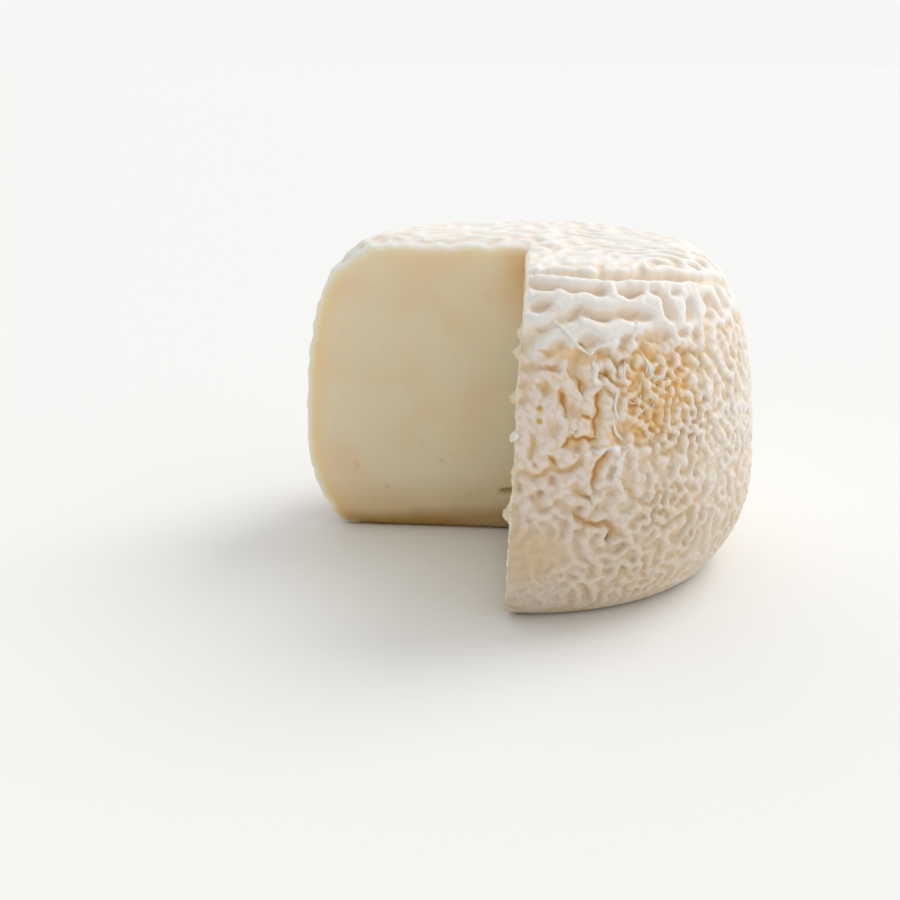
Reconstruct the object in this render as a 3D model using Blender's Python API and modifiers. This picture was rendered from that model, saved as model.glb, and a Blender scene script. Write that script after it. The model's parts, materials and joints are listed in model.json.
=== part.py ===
"""A small round goat's cheese, standing on its flat base, with a quarter cut out of it by hand.

The wheel turns about Z and its base lies at Z = 0, with the origin in the middle of the base. The missing quarter
opens towards -X and -Y. The rind is relief in the one solid: a soft sag, a crease round the top, and winding folds
that are thick on the shoulder and finer lower down.
"""

import math

import bmesh
import bpy
from mathutils import Vector, noise

# Size of the wheel, in metres and as ratios
RADIUS = 0.0300
HEIGHT = 0.0408
TOP_SHOULDER_IN = 0.0125
TOP_SHOULDER_DOWN = 0.0282
TOP_ROUNDNESS = 2.6
BASE_SHOULDER_IN = 0.0067
BASE_ROUNDNESS = 1.8
LEAN = 0.03
WIDEST_AT = 0.4

# Mesh of the turned body
STEPS_ROUND = 144
RIND_RINGS = 47
BASE_RINGS = 2
CURVE_POINTS = 400
MERGE_DISTANCE = 0.00001

# Relief of the rind
SAG_DEPTH = 0.0006
SAG_LENGTH = 0.022
FOLD_SPACING = 0.0062
FOLD_WIDTH = 0.24
FOLD_WARP = 0.0028
FOLD_SEED = 4
SHOULDER_FOLDS = 0.0011
SIDE_FOLDS = 0.0007
TOP_FOLDS = 0.0005
CREASE_DEPTH = 0.0009
CREASE_HEIGHT = 0.0395
CREASE_WIDTH = 0.0008
CREASE_WANDER = 0.0004
FLAT_BASE_MARGIN = 0.0030

# Two places on the side where the skin is different, by bearing, height and reach
TORN_DEG = 301.0
TORN_HEIGHT = 0.0265
TORN_REACH = 0.0075
TORN_DEPTH = 0.0005
BALD_DEG = 274.0
BALD_HEIGHT = 0.0095
BALD_REACH = 0.0065

# The cut quarter: where the two cuts meet at the top and at the base, and the way that each cut runs
APEX_TOP = Vector((0.0000, 0.0000, HEIGHT))
APEX_BASE = Vector((-0.0015, 0.0020, 0.0))
RIGHT_CUT_DEG = 269.7
LEFT_CUT_DEG = 178.0
CUT_REACH = 0.045
CUT_OVERRUN = 0.004
CUT_GRID = 13
KNIFE_WAVE = 0.00022
KNIFE_WAVE_LENGTH = 0.014

RIND_COLOR = (0.66, 0.56, 0.46, 1.0)
RIND_ROUGHNESS = 0.62


def clear_scene():
    """Takes away whatever the scene holds."""
    for item in list(bpy.data.objects):
        bpy.data.objects.remove(item, do_unlink=True)


def new_collection(name):
    collection = bpy.data.collections.new(name)
    bpy.context.scene.collection.children.link(collection)
    return collection


def rind_material():
    """The pale, dry skin of the cheese."""
    material = bpy.data.materials.new("rind")
    material.use_nodes = True
    shader = material.node_tree.nodes["Principled BSDF"]
    shader.inputs["Base Color"].default_value = RIND_COLOR
    shader.inputs["Roughness"].default_value = RIND_ROUGHNESS
    shader.inputs["Metallic"].default_value = 0.0
    material.diffuse_color = RIND_COLOR
    return material


def smoothstep(low, high, value):
    t = min(1.0, max(0.0, (value - low) / (high - low)))
    return t * t * (3.0 - 2.0 * t)


def leaned(radius, height):
    """The wheel is a little narrower above its widest ring and wider below it."""
    return radius * (1.0 - LEAN * (height / HEIGHT - WIDEST_AT))


def smooth_side():
    """Many points down the half section, from the middle of the top to the edge of the flat base."""
    widest = HEIGHT - TOP_SHOULDER_DOWN
    flat_top = RADIUS - TOP_SHOULDER_IN
    points = [(0.0, HEIGHT)]
    for step in range(CURVE_POINTS + 1):
        angle = 0.5 * math.pi * step / CURVE_POINTS
        across = math.sin(angle) ** (2.0 / TOP_ROUNDNESS)
        down = max(0.0, math.cos(angle)) ** (2.0 / TOP_ROUNDNESS)
        points.append((flat_top + TOP_SHOULDER_IN * across, widest + TOP_SHOULDER_DOWN * down))
    for step in range(1, CURVE_POINTS + 1):
        angle = 0.5 * math.pi * step / CURVE_POINTS
        across = max(0.0, math.cos(angle)) ** (2.0 / BASE_ROUNDNESS)
        down = math.sin(angle) ** (2.0 / BASE_ROUNDNESS)
        points.append((RADIUS - BASE_SHOULDER_IN * (1.0 - across), widest * (1.0 - down)))
    return [(leaned(radius, height), height) for radius, height in points]


def outline():
    """The half section with its rings evenly spaced down the rind, and a few across the flat base."""
    side = smooth_side()
    travelled = [0.0]
    for here, there in zip(side, side[1:]):
        travelled.append(travelled[-1] + math.dist(here, there))
    points = []
    place = 1
    for ring in range(RIND_RINGS + 1):
        wanted = travelled[-1] * ring / RIND_RINGS
        while place < len(side) - 1 and travelled[place] < wanted:
            place += 1
        share = (wanted - travelled[place - 1]) / (travelled[place] - travelled[place - 1])
        before, after = (side[place - 1], side[place])
        points.append(tuple(a + (b - a) * share for a, b in zip(before, after)))
    flat_base = points[-1][0]
    points += [(flat_base * (1.0 - ring / (BASE_RINGS + 1)), 0.0) for ring in range(1, BASE_RINGS + 2)]
    return points


def turned_body(collection):
    """Turns the half section about Z with a Screw modifier and returns the closed mesh."""
    form = bmesh.new()
    ring = [form.verts.new((radius, 0.0, height)) for radius, height in outline()]
    for above, below in zip(ring, ring[1:]):
        form.edges.new((above, below))
    mesh = bpy.data.meshes.new("half_section")
    form.to_mesh(mesh)
    form.free()
    section = bpy.data.objects.new("half_section", mesh)
    collection.objects.link(section)
    turn = section.modifiers.new("Turn", "SCREW")
    turn.axis = "Z"
    turn.angle = 2.0 * math.pi
    turn.steps = STEPS_ROUND
    turn.render_steps = STEPS_ROUND
    turn.use_merge_vertices = True
    turn.merge_threshold = MERGE_DISTANCE
    bpy.context.view_layer.update()
    evaluated = section.evaluated_get(bpy.context.evaluated_depsgraph_get())
    body = bpy.data.meshes.new_from_object(evaluated)
    bpy.data.objects.remove(section, do_unlink=True)
    return body


def groove(level, width):
    """1 along the line where a noise is zero, falling to 0 at the given level beside it."""
    return 1.0 - smoothstep(0.0, width, abs(level))


def folds(point):
    """Depth from 0 to 1 of the winding valleys between the folds of skin."""
    bend = noise.noise_vector(point / FOLD_SPACING) * FOLD_WARP
    return groove(noise.noise((point + bend) / FOLD_SPACING), FOLD_WIDTH)


def on_side(bearing_deg, height):
    """The point of the smooth side at this bearing and height, near enough for placing a mark on the skin."""
    bearing = math.radians(bearing_deg)
    return Vector((RADIUS * math.cos(bearing), RADIUS * math.sin(bearing), height))


def patch(point, middle, reach):
    """1 in the middle of a round patch of skin, fading to 0 at its edge."""
    return 1.0 - smoothstep(0.6 * reach, reach, (point - middle).length)


def rind_depth(point):
    """How far the skin lies inside the smooth wheel at this point."""
    shoulder = smoothstep(0.62 * HEIGHT, 0.78 * HEIGHT, point.z)
    top = smoothstep(0.95 * HEIGHT, 0.995 * HEIGHT, point.z)
    torn = patch(point, on_side(TORN_DEG, TORN_HEIGHT), TORN_REACH)
    bald = patch(point, on_side(BALD_DEG, BALD_HEIGHT), BALD_REACH)
    fold_depth = SIDE_FOLDS + (SHOULDER_FOLDS - SIDE_FOLDS) * shoulder + (TOP_FOLDS - SHOULDER_FOLDS) * top
    depth = SAG_DEPTH * (0.5 + 0.5 * noise.noise(point / SAG_LENGTH))
    depth += fold_depth * (1.0 - 0.5 * torn) * (1.0 - bald) * folds(point)
    depth += TORN_DEPTH * torn
    wander = CREASE_WANDER * noise.noise(point / FOLD_SPACING)
    faces_front = smoothstep(-0.3, 0.2, -point.y / RADIUS)
    depth += CREASE_DEPTH * faces_front * groove((point.z + wander - CREASE_HEIGHT) / CREASE_WIDTH, 1.0)
    return depth


def wrinkle(mesh):
    """Presses the rind's relief into the turned body and leaves the base flat."""
    form = bmesh.new()
    form.from_mesh(mesh)
    form.normal_update()
    moves = []
    for vertex in form.verts:
        above_base = smoothstep(0.0, FLAT_BASE_MARGIN, vertex.co.z)
        moves.append(vertex.normal * (-above_base * rind_depth(vertex.co)))
    for vertex, move in zip(form.verts, moves):
        vertex.co += move
    form.to_mesh(mesh)
    form.free()


def on_cut(apex, across, bearing_deg):
    """A point of a cut: this far from the apex line along the cut's bearing, with the knife's slight wave."""
    bearing = math.radians(bearing_deg)
    point = apex + Vector((math.cos(bearing), math.sin(bearing), 0.0)) * across
    wave = KNIFE_WAVE * noise.noise(point / KNIFE_WAVE_LENGTH)
    return point + Vector((-math.sin(bearing), math.cos(bearing), 0.0)) * wave


def cut_wedge(collection):
    """The wedge that the knife takes out: a cube's grid drawn between the two cuts."""
    form = bmesh.new()
    bmesh.ops.create_cube(form, size=1.0)
    bmesh.ops.subdivide_edges(form, edges=form.edges, cuts=CUT_GRID, use_grid_fill=True)
    for vertex in form.verts:
        to_left, to_right, up = (vertex.co.x + 0.5, vertex.co.y + 0.5, vertex.co.z + 0.5)
        height = -CUT_OVERRUN + (HEIGHT + 2.0 * CUT_OVERRUN) * up
        apex = APEX_BASE + (APEX_TOP - APEX_BASE) * (height / HEIGHT)
        right = on_cut(apex, CUT_REACH * to_right, RIGHT_CUT_DEG)
        left = on_cut(apex, CUT_REACH * to_left, LEFT_CUT_DEG)
        vertex.co = right + left - apex
    mesh = bpy.data.meshes.new("cut_wedge")
    form.to_mesh(mesh)
    form.free()
    wedge = bpy.data.objects.new("cut_wedge", mesh)
    collection.objects.link(wedge)
    wedge.hide_render = True
    wedge.display_type = "WIRE"
    return wedge


def cheese_wheel(collection, cutters):
    """The whole cheese: turned, wrinkled, and cut. The seed keeps the folds the same in each run."""
    noise.seed_set(FOLD_SEED)
    mesh = turned_body(collection)
    mesh.name = "cheese_wheel"
    wrinkle(mesh)
    mesh.materials.clear()
    mesh.materials.append(rind_material())
    mesh.shade_smooth()
    wheel = bpy.data.objects.new("cheese_wheel", mesh)
    collection.objects.link(wheel)
    cut = wheel.modifiers.new("Quarter", "BOOLEAN")
    cut.operation = "DIFFERENCE"
    cut.solver = "EXACT"
    cut.object = cut_wedge(cutters)
    return wheel


clear_scene()
cheese_wheel(new_collection("cheese"), new_collection("cutters"))
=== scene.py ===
# %% [markdown]
# # A small goat's cheese with a quarter cut out
# The cheese has two surfaces. Outside is a thin dry rind, which the mould on it has pulled into folds,
# and inside is the smooth paste that the knife lays open. Both are made here as one closed skin, so that
# light can wander through the paste from one side to the other, as it does in a real cheese.

# %% Load the solid model
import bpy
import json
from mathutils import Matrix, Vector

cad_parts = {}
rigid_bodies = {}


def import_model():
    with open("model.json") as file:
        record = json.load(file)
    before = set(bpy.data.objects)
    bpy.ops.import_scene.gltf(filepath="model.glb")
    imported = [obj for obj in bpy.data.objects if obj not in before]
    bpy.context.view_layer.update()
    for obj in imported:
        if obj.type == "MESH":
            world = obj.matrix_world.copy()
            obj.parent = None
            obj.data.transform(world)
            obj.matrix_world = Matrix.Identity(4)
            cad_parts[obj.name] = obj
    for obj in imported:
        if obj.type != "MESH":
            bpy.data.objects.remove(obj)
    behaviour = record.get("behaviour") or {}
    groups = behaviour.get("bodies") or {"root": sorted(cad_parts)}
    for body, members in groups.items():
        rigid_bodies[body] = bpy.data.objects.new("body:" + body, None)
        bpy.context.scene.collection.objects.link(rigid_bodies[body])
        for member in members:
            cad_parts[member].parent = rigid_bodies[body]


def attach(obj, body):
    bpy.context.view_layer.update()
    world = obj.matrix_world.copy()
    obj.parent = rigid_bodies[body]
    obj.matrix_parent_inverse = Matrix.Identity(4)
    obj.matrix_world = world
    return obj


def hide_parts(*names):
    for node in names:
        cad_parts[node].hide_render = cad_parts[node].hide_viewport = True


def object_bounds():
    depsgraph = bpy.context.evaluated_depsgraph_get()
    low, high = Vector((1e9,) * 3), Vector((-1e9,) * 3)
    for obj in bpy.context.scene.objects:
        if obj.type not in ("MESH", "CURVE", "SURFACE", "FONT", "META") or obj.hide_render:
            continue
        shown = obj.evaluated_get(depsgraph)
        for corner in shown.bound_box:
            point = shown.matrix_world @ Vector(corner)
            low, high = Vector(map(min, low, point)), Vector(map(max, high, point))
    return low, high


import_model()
cad_low, cad_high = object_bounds()
print("solid's box:", [round(v, 4) for v in cad_low], [round(v, 4) for v in cad_high])

# %% Tools used below
import json
import math

import bmesh
import bpy
import numpy as np
from mathutils import Vector, noise
from mathutils.bvhtree import BVHTree
from mathutils.kdtree import KDTree

MM = 0.001
NOISE_SEED = 3
noise.seed_set(NOISE_SEED)

# %% [markdown]
# ## The smooth form under the wrinkles
# A cheese like this is moulded as a low drum and slumps a little, so its side is a soft curve that is
# widest below the middle. Two quarter curves of a superellipse say it with a few sizes: one rounds the
# top shoulder and one the foot. The skin is then measured by two numbers, the bearing round the axis and
# the run down the skin from the middle of the top, which is how every feature of the rind is placed
# later.

# %% Half section
RADIUS = 30.0
HEIGHT = 40.8
TOP_SHOULDER_IN = 12.5
TOP_SHOULDER_DOWN = 28.2
TOP_ROUNDNESS = 2.6
BASE_SHOULDER_IN = 6.7
BASE_ROUNDNESS = 1.8
LEAN = 0.03
WIDEST_AT = 0.4


def half_section(steps=400):
    """Radius, height and run in mm of many points from the middle of the top to the edge of the flat base."""
    angle = np.linspace(0.0, 0.5 * math.pi, steps + 1)
    widest = HEIGHT - TOP_SHOULDER_DOWN
    sine, cosine = np.sin(angle), np.clip(np.cos(angle), 0.0, 1.0)
    top_radius = RADIUS - TOP_SHOULDER_IN + TOP_SHOULDER_IN * sine ** (2.0 / TOP_ROUNDNESS)
    top_height = widest + TOP_SHOULDER_DOWN * cosine ** (2.0 / TOP_ROUNDNESS)
    foot_radius = RADIUS - BASE_SHOULDER_IN * (1.0 - cosine ** (2.0 / BASE_ROUNDNESS))
    foot_height = widest * (1.0 - sine ** (2.0 / BASE_ROUNDNESS))
    radius = np.concatenate([[0.0], top_radius, foot_radius[1:]])
    height = np.concatenate([[HEIGHT], top_height, foot_height[1:]])
    radius = radius * (1.0 - LEAN * (height / HEIGHT - WIDEST_AT))
    run = np.concatenate([[0.0], np.cumsum(np.hypot(np.diff(radius), np.diff(height)))])
    return radius, height, run


SECTION_RADIUS, SECTION_HEIGHT, SECTION_RUN = half_section()
FOOT_RUN = SECTION_RUN[-1]
print("run from the top's middle to the base's edge, mm:", round(float(FOOT_RUN), 1))


def skin_point(bearing, run):
    """Points of the smooth skin in mm, for bearings in radians and runs in mm."""
    radius = np.interp(run, SECTION_RUN, SECTION_RADIUS)
    height = np.interp(run, SECTION_RUN, SECTION_HEIGHT)
    return np.stack([radius * np.cos(bearing), radius * np.sin(bearing), height], axis=-1)


def skin_axes(bearing, run):
    """The outward normal, the level direction and the uphill direction of the smooth skin at each point."""
    step = 0.2
    below = skin_point(bearing, np.minimum(run + step, FOOT_RUN))
    above = skin_point(bearing, np.maximum(run - step, 0.0))
    level = np.stack([-np.sin(bearing), np.cos(bearing), np.zeros_like(bearing)], axis=-1)
    uphill = (above - below) / np.linalg.norm(above - below, axis=-1, keepdims=True)
    outward = np.cross(level, uphill)
    return outward, level, uphill


# %% [markdown]
# ## An even net over the wheel
# A turned mesh would crowd its points in the middle of the top. A cube whose faces are divided into a
# grid and bent over the form keeps all its squares about 0.4 mm wide, which the folds need: they are
# grown on this net afterwards. The front of the rind has the finest folds, so its squares are divided
# once more.

# %% Cube net
NET_CUTS = 109
TOP_FACE_RUN = 23.5
FINE_ZONE_DEG = (259.0, 352.0)
FINE_ZONE_RUN = 15.0


def bend_over_wheel(cube):
    """Bearing in radians and run in mm of points on the cube's faces."""
    x, y, z = cube.T
    ring = np.maximum(np.maximum(np.abs(x), np.abs(y)), 1e-9)
    along_x = np.abs(x) >= np.abs(y)
    slope = np.where(along_x, y / np.where(x == 0.0, 1e-9, x), -x / np.where(y == 0.0, 1e-9, y))
    face = np.where(along_x, np.where(x > 0.0, 0.0, math.pi), np.where(y > 0.0, 0.5 * math.pi, 1.5 * math.pi))
    bearing = (face + 0.25 * math.pi * slope) % (2.0 * math.pi)
    on_top = z > 0.9999
    run = np.where(on_top, ring * TOP_FACE_RUN, TOP_FACE_RUN + 0.5 * (1.0 - z) * (FOOT_RUN - TOP_FACE_RUN))
    return bearing, run


def mesh_from(form, name):
    """Turns a bmesh into a mesh of this name."""
    mesh = bpy.data.meshes.new(name)
    form.to_mesh(mesh)
    form.free()
    return mesh


def cube_net(cuts):
    """A cube's grid, finer at the front, with its lowest face joined into one, because the base is flat."""
    form = bmesh.new()
    bmesh.ops.create_cube(form, size=2.0)
    bmesh.ops.subdivide_edges(form, edges=form.edges[:], cuts=cuts, use_grid_fill=True)
    under = [face for face in form.faces if face.calc_center_median().z < -0.999]
    bmesh.ops.dissolve_faces(form, faces=under, use_verts=False)
    middles = np.array([face.calc_center_median() for face in form.faces])
    bearing, run = bend_over_wheel(middles)
    degrees = np.degrees(bearing)
    wanted = (degrees > FINE_ZONE_DEG[0]) & (degrees < FINE_ZONE_DEG[1]) & (run > FINE_ZONE_RUN)
    wanted &= middles[:, 2] > -0.999
    front = {edge for face, chosen in zip(form.faces, wanted) if chosen for edge in face.edges}
    bmesh.ops.subdivide_edges(form, edges=list(front), cuts=1, use_grid_fill=True)
    return mesh_from(form, "cheese_wheel_skin")


def get_points(mesh):
    points = np.zeros(len(mesh.vertices) * 3, np.float32)
    mesh.vertices.foreach_get("co", points)
    return points.reshape(-1, 3).astype(float)


def set_points(mesh, points):
    mesh.vertices.foreach_set("co", points.astype(np.float32).ravel())
    mesh.update()


wheel_mesh = cube_net(NET_CUTS)
bearing, run = bend_over_wheel(get_points(wheel_mesh))
print("points on the net:", len(run), "squares:", len(wheel_mesh.polygons))

# %% [markdown]
# ## Neighbours
# Growing folds needs to know which points lie side by side. The table below lists the neighbours of every
# point: those along the net's edges, and those across the corners of its squares.

# %% Neighbour table


def neighbour_table(mesh):
    """For each point, the numbers of its neighbours, and 1 where one is real or 0 where it only fills up."""
    edges = np.zeros(len(mesh.edges) * 2, np.int32)
    mesh.edges.foreach_get("vertices", edges)
    corners = np.array([face.vertices[:] for face in mesh.polygons if len(face.vertices) == 4], np.int32)
    pairs = np.concatenate([edges.reshape(-1, 2), corners[:, [0, 2]], corners[:, [1, 3]]])
    both = np.concatenate([pairs, pairs[:, ::-1]])
    both = both[np.argsort(both[:, 0], kind="stable")]
    count = len(mesh.vertices)
    first = np.searchsorted(both[:, 0], np.arange(count))
    rank = np.arange(len(both)) - first[both[:, 0]]
    table = np.tile(np.arange(count, dtype=np.int32)[:, None], (1, rank.max() + 1))
    real = np.zeros(table.shape)
    table[both[:, 0], rank] = both[:, 1]
    real[both[:, 0], rank] = 1.0
    return table, real


table, real = neighbour_table(wheel_mesh)
print("neighbours of each point, at most:", table.shape[1])


def neighbour_mean(points):
    """The mean place of each point's neighbours."""
    return (points[table] * real[..., None]).sum(axis=1) / real.sum(axis=1)[:, None]


def relax_top(bearing, run, rounds=40):
    """Evens out the squares where the net turns over the top: each point drifts to its neighbours' mean."""
    points = skin_point(bearing, run)
    loose = run < TOP_FACE_RUN + 4.0
    for _ in range(rounds):
        points[loose] += 0.6 * (neighbour_mean(points) - points)[loose]
    radius = np.hypot(points[:, 0], points[:, 1])
    upper = SECTION_HEIGHT > 0.5 * HEIGHT
    new_run = np.where(loose, np.interp(radius, SECTION_RADIUS[upper], SECTION_RUN[upper]), run)
    new_bearing = np.where(loose, np.arctan2(points[:, 1], points[:, 0]) % (2.0 * math.pi), bearing)
    return new_bearing, new_run


bearing, run = relax_top(bearing, run)
smooth_points = skin_point(bearing, run)
outward, level, uphill = skin_axes(bearing, run)
degrees = np.degrees(bearing)
spacing = np.linalg.norm(smooth_points[table[:, 0]] - smooth_points, axis=1)
print("net spacing in mm, finest and coarsest twentieth:", np.round(np.percentile(spacing, [5, 95]), 2))

# %% [markdown]
# ## Zones of the rind
# The rind isn't the same all over. The top is low and soft, the shoulder has thick round folds, the side
# has finer ones, and on the front there are a smooth plateau with cracks, a torn yellow patch and a bald
# place near the foot. Each zone is a soft mask from 0 to 1 over the points of the net. The unseen back
# repeats the front's kinds of skin in other places.

# %% Masks


def smoothstep(low, high, value):
    t = np.clip((value - low) / (high - low), 0.0, 1.0)
    return t * t * (3.0 - 2.0 * t)


def within(value, rise, fall):
    """1 between two soft steps: one that rises over the first range and one that falls over the second."""
    return smoothstep(*rise, value) * (1.0 - smoothstep(*fall, value))


def waves(points, length, seed=0.0):
    """Soft noise from about -1 to 1 at each point, with bumps of the given length in mm."""
    shift = Vector((seed, 2.0 * seed, -seed))
    return np.array([noise.noise(Vector(point) / length + shift) for point in points])


def spot(middle_deg, middle_run, reach_round, reach_down, edge=0.45):
    """An oval patch of skin, 1 inside and 0 outside, from its bearing, its run and its reaches in mm."""
    round_mm = ((degrees - middle_deg + 180.0) % 360.0 - 180.0) * math.pi / 180.0 * RADIUS
    ring = np.hypot(round_mm / reach_round, (run - middle_run) / reach_down)
    return 1.0 - smoothstep(1.0 - edge, 1.0 + edge, ring + 0.25 * ragged)


ragged = waves(smooth_points, 2.2, 3.0)
drift = waves(smooth_points, 9.0, 5.0)
broad = waves(smooth_points, 22.0)

top = 1.0 - smoothstep(19.0, 22.5, run)
shoulder = smoothstep(19.5, 22.0, run) * (1.0 - smoothstep(29.5, 32.5, run + 1.2 * drift))
foot = smoothstep(42.5, 46.5, run + 1.5 * drift)
torn = np.maximum(spot(302.0, 36.8, 7.0, 6.2), 0.9 * spot(118.0, 41.0, 5.0, 4.0))
bald = np.maximum(spot(272.5, 54.6, 4.2, 3.6, 0.3), 0.9 * spot(37.0, 57.0, 5.0, 3.2, 0.3))
plateau = np.maximum(spot(277.5, 39.5, 7.4, 9.4, 0.3), 0.8 * spot(80.0, 40.0, 6.0, 6.0, 0.3)) * (1.0 - torn)
soft = within(degrees, (308.0, 318.0), (350.0, 359.0)) * smoothstep(27.0, 31.0, run)
near_front = within(degrees, (262.0, 266.0), (348.0, 359.0))
deep = (1.0 - near_front) * smoothstep(26.0, 31.0, run)
warm = within(degrees, (255.0, 264.0), (300.0, 325.0)) * smoothstep(28.0, 33.0, run)
by_left_cut = within(degrees, (150.0, 172.0), (182.0, 190.0)) * smoothstep(23.0, 27.0, run)
calm_foot = spot(270.5, 60.5, 5.5, 3.4)
print("share of the skin that is torn:", round(float(torn.mean()), 3), "bald:", round(float(bald.mean()), 3))

# %% [markdown]
# ## Lines on the rind
# Some folds and cracks stand out enough to be placed one by one. Each is a short line of points, given as
# bearing in degrees and run in mm. Cracks open between folds and show the yellow paste below, and lips
# are thin raised edges of torn skin.

# %% Cracks, lips and pits
CRACKS = {
    "long": [(288.0, 35.9), (286.5, 36.8), (286.5, 37.8), (286.0, 39.4), (286.0, 40.9)],
    "long_branch": [(282.5, 38.1), (284.0, 38.7), (286.0, 39.2)],
    "left": [(278.0, 35.7), (279.0, 36.6), (278.5, 38.5)],
    "eye": [(287.0, 33.8), (289.0, 34.0), (290.0, 34.6)],
    "hook": [(281.5, 34.3), (282.5, 35.0), (283.0, 36.1)],
    "under_lip": [(282.5, 30.4), (284.5, 30.9)],
    "cross": [(280.5, 40.3), (281.5, 41.2), (284.0, 41.3), (286.5, 41.2)],
    "cross_left": [(282.0, 40.0), (279.5, 41.7), (278.0, 42.3)],
    "slit": [(289.5, 42.5), (288.0, 43.2), (287.0, 44.0), (286.0, 45.3), (285.0, 46.8)],
    "short": [(275.5, 42.8), (276.0, 43.5), (277.5, 44.1)],
    "bow": [(281.0, 49.3), (282.5, 50.3), (284.5, 51.2), (287.5, 51.0), (290.0, 51.6), (290.2, 52.4),
            (289.0, 53.2)],
}
FAINT_CRACKS = {
    "upper": [(275.0, 32.9), (276.0, 33.3), (277.5, 32.9)],
    "upper_right": [(279.5, 33.6), (281.0, 34.2)],
    "upper_left": [(273.5, 35.1), (274.5, 35.4), (275.5, 34.5)],
    "low_level": [(282.5, 43.5), (281.5, 44.1), (280.5, 44.6), (275.5, 44.7), (273.0, 45.4)],
    "edge": [(272.0, 40.7), (272.5, 41.7), (271.5, 42.9)],
    "low_left": [(277.5, 47.7), (276.0, 48.8)],
    "long_right": [(291.5, 45.8), (294.0, 47.5), (297.0, 49.5)],
    "low_middle": [(283.0, 51.2), (283.0, 52.3)],
    "low_right": [(294.0, 53.8), (291.5, 55.2)],
    "low_pits": [(298.0, 49.0), (299.2, 49.3)],
    "low_pits_right": [(299.4, 51.0), (300.8, 51.2)],
    "foot_left": [(284.3, 59.6), (286.0, 59.9)],
    "mid_left": [(280.5, 46.8), (283.0, 47.7), (285.5, 48.6)],
    "mid_right": [(288.0, 47.7), (290.5, 47.2)],
}
LIPS = {
    "upper": [(285.0, 31.8), (285.5, 31.2), (287.5, 30.7), (289.5, 30.8), (292.5, 30.9), (293.0, 30.4)],
    "upright": [(295.0, 31.0), (297.0, 30.4), (298.0, 28.6)],
    "patch_left": [(294.0, 32.9), (293.0, 33.8), (293.0, 34.9), (294.0, 35.3)],
    "pale": [(286.5, 32.0), (286.0, 33.3), (286.0, 34.4), (287.0, 35.1)],
    "level": [(281.5, 42.6), (288.0, 42.6), (290.5, 42.3), (293.5, 42.2)],
    "falling": [(293.5, 42.2), (292.5, 43.1), (290.5, 44.7), (289.5, 46.2)],
}
VALLEYS = {
    "mid": [(296.0, 24.5), (298.8, 25.1), (302.4, 25.0)],
    "left": [(271.6, 26.2), (273.8, 26.2), (276.4, 25.6)],
    "upper_left": [(273.0, 23.5), (277.6, 23.7)],
    "low": [(295.0, 27.1), (297.5, 27.5), (300.4, 27.1)],
    "right": [(309.4, 26.3), (308.7, 27.6), (309.0, 28.8)],
    "upright": [(317.6, 27.1), (315.1, 29.2)],
    "far_right": [(328.9, 26.9), (326.3, 29.1)],
    "pit": [(301.5, 30.0), (302.0, 30.6)],
}
NARROW_VALLEYS = {
    "left": [(281.2, 27.8), (282.7, 26.9), (284.5, 26.1)],
    "middle": [(286.9, 27.2), (289.0, 27.9), (291.5, 28.0)],
    "step": [(306.4, 24.3), (308.4, 24.9)],
    "low_left": [(272.5, 28.5), (275.3, 28.9)],
}
THICK_FOLDS = {
    "under_crease": [(270.5, 21.4), (278.3, 21.6), (283.1, 22.8), (288.7, 22.6), (293.6, 22.3),
                     (295.3, 23.3)],
    "under_crease_right": [(299.0, 23.4), (303.3, 23.0), (305.1, 23.9), (314.6, 24.1), (320.6, 24.6),
                           (324.7, 25.5)],
    "slope": [(270.5, 24.5), (275.0, 24.8), (279.0, 24.4), (282.0, 25.0)],
    "second": [(277.0, 26.3), (280.0, 25.5), (282.1, 25.0), (285.1, 24.8), (287.7, 25.8), (291.4, 26.2),
               (294.8, 25.8), (299.7, 26.2), (304.5, 25.8), (306.9, 26.4), (306.5, 28.1), (308.0, 29.3)],
    "left_lip": [(270.6, 27.3), (273.8, 27.3), (277.0, 26.4)],
    "neck": [(294.0, 23.7), (293.6, 24.9), (294.6, 25.8)],
    "big_low": [(283.3, 27.3), (285.7, 28.7), (290.2, 29.3), (295.3, 28.7), (298.0, 28.5)],
    "upright_left": [(316.8, 25.8), (313.4, 27.9), (311.3, 29.8)],
    "upright_right": [(322.5, 26.3), (321.5, 27.8), (319.5, 29.8)],
}
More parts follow.
